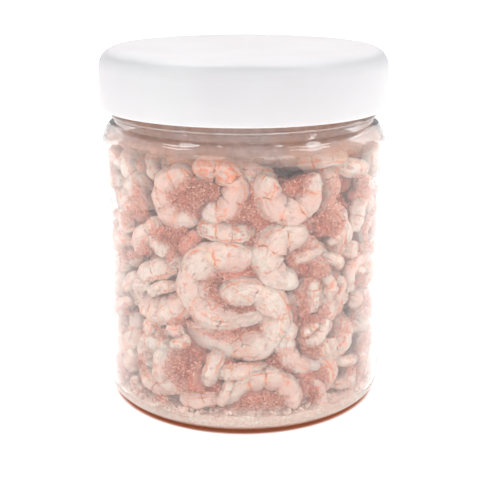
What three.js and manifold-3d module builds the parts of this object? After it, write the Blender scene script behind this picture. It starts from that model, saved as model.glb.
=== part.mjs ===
// A clear plastic jar of freeze-dried shrimp, shut with a white screw lid.
// Millimetres, +Z up, the origin at the centre of the base, the front towards -Y.
import * as THREE from "three";
import { mergeVertices } from "three/addons/utils/BufferGeometryUtils.js";
import Module from "manifold-3d";

const wasm = await Module();
wasm.setup();

// Driving dimensions of the jar
const jarRadius = 42.5;
const wall = 1.1;
const heelRadius = 5.4;
const baseThickness = 1.4;
const pushUp = 1.8; // how far the middle of the base is domed up
const footRadius = 30; // the dome ends here, and the flat foot begins
const shoulderStart = 76.5; // the straight wall ends here
const shoulderTop = 83;
const shoulderWall = 0.8; // thinner than the wall, because the shoulder is stretched further
const neckRadius = 38.4;
const neckWall = 1.5;
const neckTop = 102.2;
const beadHeight = 85.6; // a small ring under the lid
const beadRadius = 39.5;
const beadFoot = 1.1; // half its height where it meets the neck
const beadFlat = 0.4; // and half the height of its flat rim
const lipEdge = 0.4; // the edges of the mouth are broken by this much
const domeBend = 0.6; // the dome's profile bends at this share of its radius
const domeShare = 0.72; // and there it has this share of its height

// Driving dimensions of the lid
const lidRadius = 42.25;
const lidBottom = 87.3;
const lidTop = 104.5;
const lidRounding = 5.8;
const lidSkirt = 1.5;
const lidPanel = 1.9;
const lidInset = 1; // the corner inside, between panel and skirt
const lidEdge = 0.5; // the broken edge of its rim outside
const lidInnerEdge = 0.3;

// The screw thread between neck and lid
const threadPitch = 5;
const threadTurns = 1.25;
const neckThreadDepth = 1.1;
const lidThreadDepth = 1.6; // the two ridges overlap, half a pitch apart
const threadStart = 91.5;
const threadRoot = 0.4; // how far a ridge is sunk into the wall that carries it
const threadFoot = 0.8; // half a ridge's height at its root
const threadCrest = 0.35; // and at its crest
const threadSteps = 18; // in one turn
const threadRunOut = 8; // each end of a ridge runs out over one part in this many
const threadStub = 0.15; // and keeps this share of its depth

// The filling
const gap = 0.3; // left between touching pieces
const crumbLevel = 5.2; // settled crumbs and powder in the bottom of the jar
const crumbWave = 0.5;
const coreRadius = 36;
const coreBottom = 2;
const coreTop = 71;
const heapTop = 79.5;

const turnedSides = 36;
const flatReach = Math.cos(Math.PI / turnedSides); // out to the middle of a facet, not to its corner
const fillRadius = jarRadius - wall - gap; // the crumbs reach this far
const shrimpReach = fillRadius * flatReach; // and the shrimps that lie against the wall this far
const coreSides = 20;
const sliver = 0.1; // detail finer than this is dropped when pieces are joined
const frontSides = 6;
const frontRings = 8;
const wallSides = 5;
const wallRings = 6;
const flatness = 0.88; // a body's width from side to side, as a share of its thickness
const usualTail = 0.4; // the share of its thickness that a shrimp loses at the tail
const bodySlims = 0.45; // how much of that goes along the body, the rest where the tail piece starts
const slimFrom = 0.4; // the body slims from here to the tail
const fanFrom = 0.8;
const fanUntil = 0.9;
const headSlimming = 0.2;
const headUntil = 0.2;
const scallop = 0.05; // how far the segments swell
const segments = 5;
const ringCrowding = 0.7; // below 1 the rings of a shrimp are closer at its ends
const tangentStep = 0.002;

const innerNeck = neckRadius - neckWall;
const innerShoulder = shoulderTop - shoulderWall;

const radians = THREE.MathUtils.degToRad;

// A small seeded random source
let seed = 20;
function random() {
  seed = (Math.imul(seed, 1664525) + 1013904223) >>> 0;
  return seed / 4294967296;
}
function between(low, high) {
  return low + (high - low) * random();
}

// Points on an ellipse's arc, as [radius, height] pairs
function arc(centreRadius, centreHeight, across, up, from, to, steps) {
  const points = [];
  for (let i = 0; i <= steps; i++) {
    const angle = radians(from + ((to - from) * i) / steps);
    points.push([centreRadius + across * Math.cos(angle), centreHeight + up * Math.sin(angle)]);
  }
  return points;
}

// Turns a profile of [radius, height] pairs about the Z axis
function turned(profile, sides = turnedSides) {
  const points = profile.map(([radius, height]) => new THREE.Vector2(Math.max(radius, 0), height));
  const geometry = new THREE.LatheGeometry(points, sides);
  geometry.rotateX(Math.PI / 2);
  return geometry;
}

// Booleans: a closed geometry becomes a solid, and a solid becomes a geometry again
function solidOf(geometry) {
  const bare = geometry.clone();
  for (const name of ["normal", "uv"]) bare.deleteAttribute(name);
  const merged = mergeVertices(bare, 1e-3);
  const mesh = new wasm.Mesh({
    numProp: 3,
    vertProperties: merged.attributes.position.array,
    triVerts: new Uint32Array(merged.index.array),
  });
  return new wasm.Manifold(mesh);
}
function geometryOf(solid) {
  const mesh = solid.getMesh();
  const geometry = new THREE.BufferGeometry();
  geometry.setAttribute("position", new THREE.BufferAttribute(mesh.vertProperties, 3));
  geometry.setIndex(new THREE.BufferAttribute(mesh.triVerts, 1));
  return geometry;
}

// One screw ridge: a trapezium section swept up a helix, its root sunk into the wall that carries it
function thread(rootRadius, direction, depth, startHeight) {
  class Helix extends THREE.Curve {
    getPoint(t, target = new THREE.Vector3()) {
      const angle = t * threadTurns * 2 * Math.PI;
      const height = startHeight + t * threadTurns * threadPitch;
      return target.set(rootRadius * Math.cos(angle), rootRadius * Math.sin(angle), height);
    }
  }
  const steps = Math.round(threadTurns * threadSteps);
  const ridge = new THREE.BufferGeometry();
  const section = [
    [-threadRoot, -threadFoot],
    [depth, -threadCrest],
    [depth, threadCrest],
    [-threadRoot, threadFoot],
  ];
  const helix = new Helix();
  const vertices = [];
  const faces = [];
  const count = section.length;
  for (let i = 0; i <= steps; i++) {
    const t = i / steps;
    const point = helix.getPoint(t);
    const grow = THREE.MathUtils.lerp(threadStub, 1, Math.min(1, t * threadRunOut, (1 - t) * threadRunOut));
    const outward = new THREE.Vector3(point.x, point.y, 0).normalize();
    for (const [out, up] of section) {
      const reach = direction * (out > 0 ? out * grow : out);
      vertices.push(point.x + outward.x * reach, point.y + outward.y * reach, point.z + up);
    }
  }
  for (let i = 0; i < steps; i++)
    for (let k = 0; k < count; k++) {
      const a = i * count + k;
      const b = i * count + ((k + 1) % count);
      faces.push(a, a + count, b, b, a + count, b + count);
    }
  const last = steps * count;
  faces.push(0, 1, 2, 0, 2, 3, last, last + 2, last + 1, last, last + 3, last + 2);
  if (direction < 0) faces.reverse(); // inside the lid the section is mirrored
  ridge.setAttribute("position", new THREE.Float32BufferAttribute(vertices, 3));
  ridge.setIndex(faces);
  return ridge;
}

// The jar: base, heel, wall, shoulder and neck, in one profile outside and back down inside
function jarGeometry() {
  const inner = jarRadius - wall;
  const innerHeel = heelRadius - wall;
  const profile = [
    [0, pushUp],
    [footRadius * domeBend, pushUp * domeShare],
    [footRadius, 0],
    ...arc(jarRadius - heelRadius, heelRadius, heelRadius, heelRadius, -90, 0, 4),
    ...arc(neckRadius, shoulderStart, jarRadius - neckRadius, shoulderTop - shoulderStart, 0, 90, 4),
    [neckRadius, beadHeight - beadFoot],
    [beadRadius, beadHeight - beadFlat],
    [beadRadius, beadHeight + beadFlat],
    [neckRadius, beadHeight + beadFoot],
    [neckRadius, neckTop - lipEdge],
    [neckRadius - lipEdge, neckTop],
    [innerNeck + lipEdge, neckTop],
    [innerNeck, neckTop - lipEdge],
    ...arc(innerNeck, shoulderStart, inner - innerNeck, innerShoulder - shoulderStart, 90, 0, 4),
    ...arc(inner - innerHeel, baseThickness + innerHeel, innerHeel, innerHeel, 0, -90, 3),
    [footRadius * domeBend, baseThickness + pushUp * domeShare],
    [0, baseThickness + pushUp],
  ];
  const neckThread = solidOf(thread(neckRadius, 1, neckThreadDepth, threadStart));
  return geometryOf(solidOf(turned(profile)).add(neckThread));
}

// The lid: a rounded cap over the neck, with a plain skirt and its own screw ridge inside
function lidGeometry() {
  const inner = lidRadius - lidSkirt;
  const profile = [
    [0, lidTop - lidPanel],
    [inner - lidInset, lidTop - lidPanel],
    [inner, lidTop - lidPanel - lidInset],
    [inner, lidBottom + lidInnerEdge],
    [inner + lidInnerEdge, lidBottom],
    [lidRadius - lidEdge, lidBottom],
    [lidRadius, lidBottom + lidEdge],
    ...arc(lidRadius - lidRounding, lidTop - lidRounding, lidRounding, lidRounding, 0, 90, 5),
    [0, lidTop],
  ];
  const lidThread = solidOf(thread(inner, -1, lidThreadDepth, threadStart - threadPitch / 2));
  return geometryOf(solidOf(turned(profile)).add(lidThread));
}

// The top of the crumbs rises and falls a little round the jar
function crumbTop(x, y) {
  const angle = Math.atan2(x, -y);
  const share = Math.hypot(x, y) / fillRadius;
  return crumbLevel + crumbWave * share * (Math.sin(3 * angle + 0.6) + 0.6 * Math.sin(7 * angle + 2.1));
}

// Crumbs and powder: a thick disc that follows the inside of the base, lifted by a clearance for cutting
function crumbGeometry(lift) {
  const innerHeel = heelRadius - wall - gap;
  const floor = baseThickness + gap;
  const level = crumbLevel + lift;
  const profile = [
    [0, floor + pushUp],
    [footRadius * domeBend, floor + pushUp * domeShare],
    ...arc(fillRadius - innerHeel, floor + innerHeel, innerHeel, innerHeel, -90, -25, 3),
    [fillRadius - 0.1, level],
    [fillRadius * 0.7, level],
    [fillRadius * 0.36, level],
    [0, level],
  ];
  const geometry = turned(profile);
  const place = geometry.attributes.position;
  for (let i = 0; i < place.count; i++) {
    const onTop = Math.abs(place.getZ(i) - level) < 1e-3;
    if (onTop) place.setZ(i, crumbTop(place.getX(i), place.getY(i)) + lift);
  }
  return geometry;
}

// The inside of the jar at a height, less the gap: the reach of a shrimp that lies there
function reachAt(height) {
  const rise = THREE.MathUtils.clamp((height - shoulderStart) / (innerShoulder - shoulderStart), 0, 1);
  const narrowing = fillRadius - (innerNeck - gap);
  return (fillRadius - narrowing * (1 - Math.sqrt(1 - rise * rise))) * flatReach;
}

// A point on the middle line of a shrimp that is curled about the origin, its head end towards +Y
function midline({ curl, sweep, lead, trail }, along) {
  const angle = radians(sweep * (0.5 - along));
  const radius = curl * (1 + lead * Math.pow(1 - along, 3) + trail * Math.pow(along, 6));
  return new THREE.Vector2(radius * Math.cos(angle), radius * Math.sin(angle));
}

// The share of its full thickness that a shrimp has along its length. The tail piece is set off from the body.
function thickness(tail, along) {
  const step = THREE.MathUtils.smoothstep;
  const slimming = bodySlims * step(along, slimFrom, 1) + (1 - bodySlims) * step(along, fanFrom, fanUntil);
  const head = 1 - headSlimming * (1 - step(along, 0, headUntil));
  return (1 - tail * slimming) * head * (1 - scallop * Math.cos(Math.PI * 2 * segments * along));
}

// One shrimp in its own XY plane, its back towards +X. thick is the body from back to belly, curl the radius of
// its middle line, and sweep the angle that the line turns through. lead and trail say how far the curl opens
// out again at the head end and at the tail, and tail is the share of the thickness that is lost there.
// The blank is a sphere whose poles are the head end and the tail.
function shrimpGeometry(shrimp) {
  const geometry = new THREE.SphereGeometry(1, shrimp.sides, shrimp.rings);
  const uv = geometry.attributes.uv;
  const place = geometry.attributes.position;
  for (let i = 0; i < place.count; i++) {
    const share = 1 - Math.round(uv.getY(i) * shrimp.rings) / shrimp.rings;
    const round = (Math.round(uv.getX(i) * shrimp.sides - 1e-6) / shrimp.sides) * 2 * Math.PI;
    const pole = share === 0 || share === 1;
    const along = 0.5 - 0.5 * Math.sign(0.5 - share) * Math.pow(Math.abs(1 - 2 * share), ringCrowding);
    const half = pole ? 0 : (shrimp.thick / 2) * thickness(shrimp.tail, along);
    const spot = midline(shrimp, along);
    const ahead = midline(shrimp, along + tangentStep).sub(midline(shrimp, along - tangentStep)).normalize();
    const toBack = half * Math.cos(round);
    const side = -half * flatness * Math.sin(round);
    place.setXYZ(i, spot.x - ahead.y * toBack, spot.y + ahead.x * toBack, side);
  }
  return geometry;
}

// Lays a shrimp against the wall. around is the bearing in degrees from the front, height its level and inset
// its distance from the wall. roll turns it as seen from outside, and turn rolls it over on its long axis:
// at 0 and 180 it shows a side, at 90 its back and at -90 its belly.
function laidOnWall(shrimp) {
  const geometry = shrimpGeometry(shrimp);
  geometry.rotateY(radians(-shrimp.turn));
  geometry.rotateZ(radians(shrimp.roll));
  geometry.computeBoundingBox();
  const foremost = geometry.boundingBox.max.z;
  const level = Math.min(shrimp.height, heapTop - geometry.boundingBox.max.y);
  const place = geometry.attributes.position;
  const bearing = radians(shrimp.around);
  for (let i = 0; i < place.count; i++) {
    const across = place.getX(i);
    const height = place.getY(i) + level;
    const depth = shrimp.inset + foremost - place.getZ(i);
    const outward = Math.sqrt(shrimpReach * shrimpReach - across * across) - depth;
    const radius = Math.hypot(across, outward);
    const squeeze = Math.min(1, reachAt(height) / radius);
    const x = (across * Math.cos(bearing) + outward * Math.sin(bearing)) * squeeze;
    const y = (across * Math.sin(bearing) - outward * Math.cos(bearing)) * squeeze;
    place.setXYZ(i, x, y, height);
  }
  return geometry;
}

// The shrimps that show at the front, from the top down:
// around, height, inset, roll, turn, thick, curl, sweep, lead, trail, tail
const frontShrimps = [
  [-57, 75.5, 0.3, 40, 78, 5.6, 6.5, 190, 0, 0, 0.45],
  [-44, 75.5, 4.5, 40, 100, 5.0, 6, 170, 0, 0, 0.45],
  [42, 77.2, 1.6, 84, 70, 5.6, 6, 190, 0, 0, 0.45],
  [57, 73, 0.3, 76, 95, 6.4, 5.5, 200, 0, 0, 0.45],
  [-11.6, 69.5, 0.5, 8, 0, 7.1, 5.4, 262, 0.25, 0, 0.3],
  [-27, 66.9, 1.2, 4, 180, 7.8, 5.6, 250, 0, 0.1, 0.4],
  [19.8, 70.3, 0.4, 88, 180, 7.8, 6.7, 240, 0, 0, 0.35],
  [3, 72.4, 5.2, 78, 80, 6.8, 6, 180, 0, 0, 0.45],
  [-56, 67.5, 0.6, 14, 70, 7.8, 5.4, 210, 0, 0, 0.45],
  [40, 68, 3.5, 8, 70, 7, 6, 200, 0, 0, 0.45],
  [-7.3, 57.9, 0.4, 87, 84, 6.2, 6.2, 170, 0, 0, 0.45],
  [-46.6, 53.9, 0.3, 138, 88, 7.6, 5.2, 190, 0, 0, 0.45],
  [18.4, 50.3, 0, -8, 180, 8.8, 5.4, 256, 0.3, 0.15, 0.3],
  [26.5, 45, 4.4, -10, 4, 6.8, 7.8, 210, 0, 0, 0.45],
  [46, 55, 1.2, 6, 82, 7.4, 8, 180, 0, 0, 0.45],
  [-9.7, 42.7, 0, 4, 180, 9.6, 7.3, 290, 0.45, 1, 0.6],
  [2.8, 33.6, 0.2, -14, 0, 8.6, 7, 312, 0.35, 1.5, 0.2],
  [-44, 43.5, 0.8, -64, 92, 7.4, 8, 150, 0, 0, 0.45],
  [-41.5, 43.2, 1.2, -88, 12, 8.4, 11, 110, 0, 0, 0.3],
  [-45, 24.8, 3.2, 84, 84, 5.6, 6, 180, 0, 0, 0.45],
  [31.4, 33, 2.6, 4, 4, 7.4, 6.2, 240, 0, 0, 0.35],
  [28, 25.9, 0.2, 32, 180, 6, 7, 170, 0, 0.3, 0.45],
  [-43, 17.5, 1.8, -52, 172, 7, 5.2, 220, 0, 0, 0.45],
  [-31.5, 15.8, 0.2, 14, 138, 7, 5.4, 210, 0, 0, 0.45],
  [-13.8, 17.7, 0.8, -16, 90, 5.8, 4.6, 190, 0, 0, 0.45],
  [-0.8, 16.4, 1.2, 96, 78, 5.6, 5.8, 190, 0, 0, 0.45],
  [-7.6, 11.2, 0.6, -24, 94, 4.2, 3.4, 190, 0, 0, 0.45],
  [11, 9.2, 0.2, -100, 180, 6.8, 6.4, 210, 0, 0.9, 0.45],
  [-20, 8.2, 0.6, 102, 92, 5.6, 5, 190, 0, 0, 0.45],
  [36, 13.5, 0.8, 14, 60, 7, 5.6, 210, 0, 0, 0.45],
  [-47, 9.5, 1.2, 60, 80, 6, 5, 200, 0, 0, 0.45],
  [46, 36, 2.2, 12, 76, 7.6, 6.4, 200, 0, 0, 0.45],
  [49, 22, 1.2, -40, 88, 7.4, 6, 190, 0, 0, 0.45],
].map(([around, height, inset, roll, turn, thick, curl, sweep, lead, trail, tail]) => {
  const shape = { thick, curl, sweep, lead, trail, tail, sides: frontSides, rings: frontRings };
  return { around, height, inset, roll, turn, ...shape };
});

// What the other shrimps have in common, unless they say otherwise
const usual = { lead: 0, trail: 0, tail: usualTail, sides: wallSides, rings: wallRings };

// The rest of the wall is covered in rows, each shrimp thrown in at random
const rowHeights = [11.5, 25.5, 39.5, 53.5, 67];
const rowFirst = 60; // bearings in degrees, round the back from one side to the other
const rowLast = 298;
const shrimpsInRow = 9;
function wallShrimps() {
  const found = [];
  rowHeights.forEach((rowHeight, row) => {
    for (let k = 0; k < shrimpsInRow; k++) {
      const step = (rowLast - rowFirst) / shrimpsInRow;
      const around = rowFirst + step * (k + (row % 2 ? 0.75 : 0.25)) + between(-4, 4);
      const height = rowHeight + between(-2.5, 2.5);
      const inset = between(0, 1.6);
      const roll = between(0, 360);
      const showsBack = random() < 0.4;
      const turn = (showsBack ? 90 : random() < 0.5 ? 0 : 180) + between(-22, 22);
      const thick = between(6, 8);
      const curl = between(5.2, 7.4);
      const sweep = between(190, 265);
      const trail = between(0, 0.5);
      found.push({ around, height, inset, roll, turn, ...usual, thick, curl, sweep, trail });
    }
  });
  return found;
}

// The shrimps that lie on top of the heap: one in the middle and a ring round it
const topRing = 8;
function topShrimps() {
  const found = [];
  for (let k = 0; k <= topRing; k++) {
    const radius = k ? between(17, 24) : 2;
    const bearing = radians((k * 360) / topRing + between(-10, 10));
    const thick = between(6, 8);
    const curl = between(5, 7);
    const sweep = between(190, 260);
    const geometry = shrimpGeometry({ ...usual, thick, curl, sweep });
    geometry.rotateZ(between(0, 2 * Math.PI));
    geometry.rotateX(between(-0.5, 0.5));
    geometry.rotateY(between(-0.5, 0.5));
    const height = coreTop + between(0.5, 3.5);
    geometry.translate(radius * Math.sin(bearing), -radius * Math.cos(bearing), height);
    found.push(geometry);
  }
  return found;
}

// The middle of the heap: a lumpy drum that the shrimps are fused to
function coreGeometry() {
  const shares = [0.12, 0.3, 0.5, 0.7, 0.88];
  const profile = [
    [0, coreBottom],
    [coreRadius - 1, coreBottom],
    ...shares.map((share) => [coreRadius, THREE.MathUtils.lerp(coreBottom, coreTop, share)]),
    [coreRadius - 2, coreTop - 2],
    [coreRadius - 6, coreTop],
    [coreRadius * 0.5, coreTop + 1.5],
    [0, coreTop + 1],
  ];
  const geometry = turned(profile, coreSides);
  const place = geometry.attributes.position;
  for (let i = 0; i < place.count; i++) {
    const [x, y, z] = [place.getX(i), place.getY(i), place.getZ(i)];
    const angle = Math.atan2(x, -y);
    const lump = 1 + 0.03 * Math.sin(9 * angle + z * 0.31) * Math.sin(z * 0.21 + 4 * angle);
    place.setXYZ(i, x * lump, y * lump, z);
  }
  return geometry;
}

// The outer skin of a solid, without slivers and without the hollows that joining sealed in it. Welding can
// close another small hollow, so it is repeated until nothing changes.
function skinOf(solid) {
  let skin = solid.simplify(sliver);
  let before;
  do {
    before = skin.numTri();
    skin = solidOf(geometryOf(skin)).decompose().sort((a, b) => b.volume() - a.volume())[0];
  } while (skin.numTri() !== before);
  return skin;
}

// The heap: core and shrimps fused, and cut clear of the crumbs
function heapGeometry() {
  let heap = solidOf(coreGeometry());
  for (const shrimp of [...frontShrimps, ...wallShrimps()]) heap = heap.add(solidOf(laidOnWall(shrimp)));
  for (const geometry of topShrimps()) heap = heap.add(solidOf(geometry));
  heap = heap.subtract(solidOf(crumbGeometry(gap)));
  return geometryOf(skinOf(heap));
}

// Materials and the finished group
const materials = {
  jar: new THREE.MeshStandardMaterial({
    color: 0xf4f2f2,
    roughness: 0.06,
    metalness: 0,
    transparent: true,
    opacity: 0.3,
  }),
  lid: new THREE.MeshStandardMaterial({ color: 0xf3f1f1, roughness: 0.35, metalness: 0 }),
  shrimp: new THREE.MeshStandardMaterial({ color: 0xe8cfc2, roughness: 0.9, metalness: 0 }),
  crumbs: new THREE.MeshStandardMaterial({ color: 0xe6c6ba, roughness: 0.95, metalness: 0 }),
};
const jarOfShrimp = new THREE.Group();
function addPiece(name, geometry, material) {
  geometry.computeVertexNormals();
  const mesh = new THREE.Mesh(geometry, material);
  mesh.name = name;
  jarOfShrimp.add(mesh);
}
addPiece("jar", jarGeometry(), materials.jar);
addPiece("screw_lid", lidGeometry(), materials.lid);
addPiece("crumb_layer", crumbGeometry(0), materials.crumbs);
addPiece("shrimp_heap", heapGeometry(), materials.shrimp);

export default jarOfShrimp;
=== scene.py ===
import math
import random

import bmesh
import bpy
import numpy as np
from mathutils import Matrix, Vector, noise
from mathutils.bvhtree import BVHTree


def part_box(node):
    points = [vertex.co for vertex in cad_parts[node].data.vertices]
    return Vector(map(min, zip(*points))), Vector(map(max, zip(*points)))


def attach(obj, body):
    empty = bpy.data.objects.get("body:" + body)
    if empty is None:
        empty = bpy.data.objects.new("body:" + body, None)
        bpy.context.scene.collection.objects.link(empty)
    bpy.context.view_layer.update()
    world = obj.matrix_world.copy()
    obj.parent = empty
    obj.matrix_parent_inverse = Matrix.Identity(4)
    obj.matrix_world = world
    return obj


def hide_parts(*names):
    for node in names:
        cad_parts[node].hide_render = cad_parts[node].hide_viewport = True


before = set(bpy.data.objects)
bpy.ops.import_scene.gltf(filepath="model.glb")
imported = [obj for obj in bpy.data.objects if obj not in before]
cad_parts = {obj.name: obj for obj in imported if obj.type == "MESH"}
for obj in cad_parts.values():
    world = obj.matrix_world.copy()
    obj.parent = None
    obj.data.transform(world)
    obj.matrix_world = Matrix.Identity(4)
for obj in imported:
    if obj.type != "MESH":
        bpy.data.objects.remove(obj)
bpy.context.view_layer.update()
mm = 0.001


def cadBoxOf(node):  # a node's lowest and highest corner, in millimetres
    low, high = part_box(node)
    return low / mm, high / mm


jarHigh = cadBoxOf("jar")[1]
lidLow, lidHigh = cadBoxOf("screw_lid")
bedHigh = cadBoxOf("crumb_layer")[1]
heapLow, heapHigh = cadBoxOf("shrimp_heap")

# The jar's main sizes, as its maker would give them
jar = {
    "radius": jarHigh.x,
    "wall": 1.1,
    "heel": 5.4,
    "baseThickness": 1.4,
    "pushUp": 1.8,
    "footRadius": 30,
    "dome": ((0.82, 0.36), (0.6, 0.72), (0.35, 0.93)),  # shares of the foot's radius and of the push-up
    "shoulderStart": 76.5,
    "shoulderTop": 83,
    "shoulderWall": 0.8,
    "neckRadius": 38.4,
    "neckWall": 1.5,
    "neckTop": jarHigh.z,
    "beadRadius": 39.5,
    "beadHeight": 85.6,
    "beadHalf": 1.1,
    "lip": 0.5,
    "turnSteps": 128,
}
insideRadius = jar["radius"] - jar["wall"]
insideNeck = jar["neckRadius"] - jar["neckWall"]
insideShoulder = jar["shoulderTop"] - jar["shoulderWall"]
innerHeel = jar["heel"] - jar["wall"]

camera = {
    "focalPixels": 987.6,
    "imagePixels": 493,
    "sensor": 36,
    "distance": 305.6,
    "elevation": 16.83,
    "aimHeight": 43.1,
    "aside": 0.84,
    "clip": (0.01, 20),  # in metres
}
room = {"strength": 0.66, "nearShade": 0.45, "farShade": 1.05}  # it is darker on the camera's side
softboxAim = Vector((0, 0, 55))
mirroredBoxes = ("left", "right")
softboxes = {  # place, size and power
    "left": ((-205, -10, 560), (170, 320), 1.25),
    "right": ((250, -30, 560), (200, 320), 1.25),
    "highLeft": ((-230, -400, 400), (220, 160), 0.3),
    "highRight": ((230, -400, 400), (220, 160), 0.3),
    "frontLeft": ((-280, -660, 110), (420, 340), 0.37),
    "frontRight": ((280, -660, 110), (420, 340), 0.37),
    "farLeft": ((-700, 60, 160), (320, 320), 0.04),
    "back": ((0, 700, 200), (500, 300), 1.1),
    "farRight": ((700, 60, 160), (320, 320), 0.04),
}


def linked(name, data):  # an object in the scene
    made = bpy.data.objects.new(name, data)
    bpy.context.scene.collection.objects.link(made)
    return made


def makeCamera():
    data = bpy.data.cameras.new("camera")
    data.sensor_width = camera["sensor"]
    data.lens = camera["sensor"] * camera["focalPixels"] / camera["imagePixels"]
    data.clip_start, data.clip_end = camera["clip"]
    tilt = math.radians(camera["elevation"])
    eye = linked("camera", data)
    eye.location = (
        camera["aside"] * mm,
        -camera["distance"] * math.cos(tilt) * mm,
        (camera["aimHeight"] + camera["distance"] * math.sin(tilt)) * mm,
    )
    eye.rotation_euler = (math.pi / 2 - tilt, 0, 0)
    bpy.context.scene.camera = eye


def makeLights():
    world = bpy.data.worlds.new("studio")
    world.use_nodes = True
    tree = world.node_tree
    background = tree.nodes["Background"]
    background.inputs["Strength"].default_value = room["strength"]
    direction = tree.nodes.new("ShaderNodeTexCoord")
    parts = tree.nodes.new("ShaderNodeSeparateXYZ")
    shade = tree.nodes.new("ShaderNodeMapRange")
    ends = {"From Min": -1, "From Max": 1, "To Min": room["nearShade"], "To Max": room["farShade"]}
    for name, value in ends.items():
        shade.inputs[name].default_value = value
    tree.links.new(direction.outputs["Generated"], parts.inputs[0])
    tree.links.new(parts.outputs["Y"], shade.inputs["Value"])
    tree.links.new(shade.outputs[0], background.inputs["Color"])
    bpy.context.scene.world = world
    for name, (place, size, power) in softboxes.items():
        data = bpy.data.lights.new(name + "Softbox", "AREA")
        data.shape = "RECTANGLE"
        data.size, data.size_y = (side * mm for side in size)
        data.energy = power
        lamp = linked(name + "Softbox", data)
        lamp.location = Vector(place) * mm
        aim = softboxAim * mm - lamp.location
        lamp.rotation_euler = aim.to_track_quat("-Z", "Y").to_euler()
        lamp.visible_glossy = name in mirroredBoxes
    bpy.context.scene.view_settings.view_transform = "Standard"


makeCamera()
makeLights()
print("camera and lights")


# Materials
class Signal:  # a node's output, which adds Math nodes when it is used in arithmetic
    def __init__(self, sheet, socket):
        self.sheet, self.socket = sheet, socket

    def __add__(self, other):
        return self.sheet.maths("ADD", self, other)

    def __sub__(self, other):
        return self.sheet.maths("SUBTRACT", self, other)

    def __rsub__(self, other):
        return self.sheet.maths("SUBTRACT", other, self)

    def __mul__(self, other):
        return self.sheet.maths("MULTIPLY", self, other)

    __radd__, __rmul__ = __add__, __mul__


class Sheet:  # the nodes of one material
    def __init__(self, name):
        self.material = bpy.data.materials.new(name)
        self.material.use_nodes = True
        self.tree = self.material.node_tree
        self.tree.nodes.clear()

    def add(self, kind, settings=None, inputs=None, output=0):
        node = self.tree.nodes.new("ShaderNode" + kind)
        for name, value in (settings or {}).items():
            setattr(node, name, value)
        for name, value in (inputs or {}).items():
            if isinstance(value, Signal):
                self.tree.links.new(value.socket, node.inputs[name])
            else:
                node.inputs[name].default_value = value
        return Signal(self, node.outputs[output]) if node.outputs else None

    def place(self):  # the place on the object, in metres
        return self.add("TexCoord", output="Object")

    def height(self):  # the height over the floor, in metres
        return self.add("SeparateXYZ", {}, {0: self.place()}, 2)

    def noise(self, size, detail=2, rough=0.5):  # size is in millimetres
        inputs = {"Vector": self.place(), "Scale": 1 / (size * mm), "Detail": detail, "Roughness": rough}
        return self.add("TexNoise", {}, inputs)

    def cells(self, size, feature="F1", place=None):
        inputs = {"Vector": place or self.place(), "Scale": 1 / (size * mm)}
        return self.add("TexVoronoi", {"feature": feature}, inputs)

    def maths(self, operation, *values):
        return self.add("Math", {"operation": operation}, dict(enumerate(values)))

    def step(self, value, start, end):  # 0 before start, 1 after end, smooth between them
        inputs = {"Value": value, "From Min": start, "From Max": end}
        return self.add("MapRange", {"interpolation_type": "SMOOTHSTEP"}, inputs)

    def mix(self, share, first, second):
        return self.add("Mix", {"data_type": "RGBA"}, {0: share, 6: first, 7: second}, 2)

    def bump(self, height, depth, strength=1, under=None):  # depth is in millimetres
        inputs = {"Height": height, "Distance": depth * mm, "Strength": strength}
        if under:
            inputs["Normal"] = under
        return self.add("Bump", {}, inputs)

    def finish(self, shader):
        self.add("OutputMaterial", {}, {"Surface": shader})
        return self.material

    def surface(self, values):
        return self.finish(self.add("BsdfPrincipled", {}, values))


def colour(red, green, blue):  # a colour as a picture shows it, 0 to 255
    shares = (red / 255, green / 255, blue / 255)
    return tuple(s / 12.92 if s < 0.04045 else ((s + 0.055) / 1.055) ** 2.4 for s in shares) + (1,)


def clearPlastic():
    sheet = Sheet("clearPlastic")
    smudge = sheet.noise(9, 3)
    ripple = sheet.bump(sheet.noise(9, 1), 0.01)
    glass = sheet.add("BsdfPrincipled", {}, {
        "Base Color": (1, 1, 1, 1),
        "Roughness": sheet.step(smudge, 0.3, 0.8) * 0.01,
        "IOR": 1.5,
        "Transmission Weight": 1,
        "Normal": ripple,
    })
    # lamps shine through the wall, as they do through thin plastic
    shadow = sheet.add("LightPath", output="Is Shadow Ray")
    clear = sheet.add("BsdfTransparent")
    return sheet.finish(sheet.add("MixShader", {}, {0: shadow, 1: glass, 2: clear}))


def whitePlastic():
    sheet = Sheet("whitePlastic")
    grain = sheet.noise(0.35, 2)
    cloud = sheet.step(sheet.noise(30, 2), 0.3, 0.7)
    return sheet.surface({
        "Base Color": sheet.mix(cloud, colour(219, 217, 218), colour(214, 210, 212)),
        "Roughness": 0.34 + grain * 0.12,
        "IOR": 1.49,
        "Subsurface Weight": 0.6,
        "Subsurface Radius": (1, 0.85, 0.8),
        "Subsurface Scale": 0.005,
        "Normal": sheet.bump(grain, 0.015),
    })


shrimpColours = {
    "cream": colour(230, 207, 192),
    "chalk": colour(239, 222, 210),
    "blush": colour(236, 192, 178),
    "glow": colour(244, 184, 148),
    "line": colour(244, 140, 90),
    "spot": colour(236, 132, 76),
    # painted shade for the furrows
    "shadedFurrow": colour(190, 150, 138),
    # painted shade for the creases between segments
    "crease": colour(140, 84, 72),
    "dust": colour(232, 130, 106),
    "deepDust": colour(214, 122, 66),
}
shrimpLines = {  # widths are shares of a segment, of the way round or of the net's mesh
    "wander": 0.55,
    "ragged": 0.16,
    "borderWidth": 0.075,
    "stripPlace": 0.78,
    "stripWidth": 0.09,
    "netSize": 3.8,
    "netWidth": 0.07,
    "glowWidth": 0.3,
    "creaseWidth": 0.035,
    "furrows": (5, 4.5, 60),  # how fast they change along it, over its back and from one to the next
    "tail": (0.83, 0.88),
    "brownFrom": (69 * mm, 74 * mm),  # the dust is red below this and brown above it
}


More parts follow.
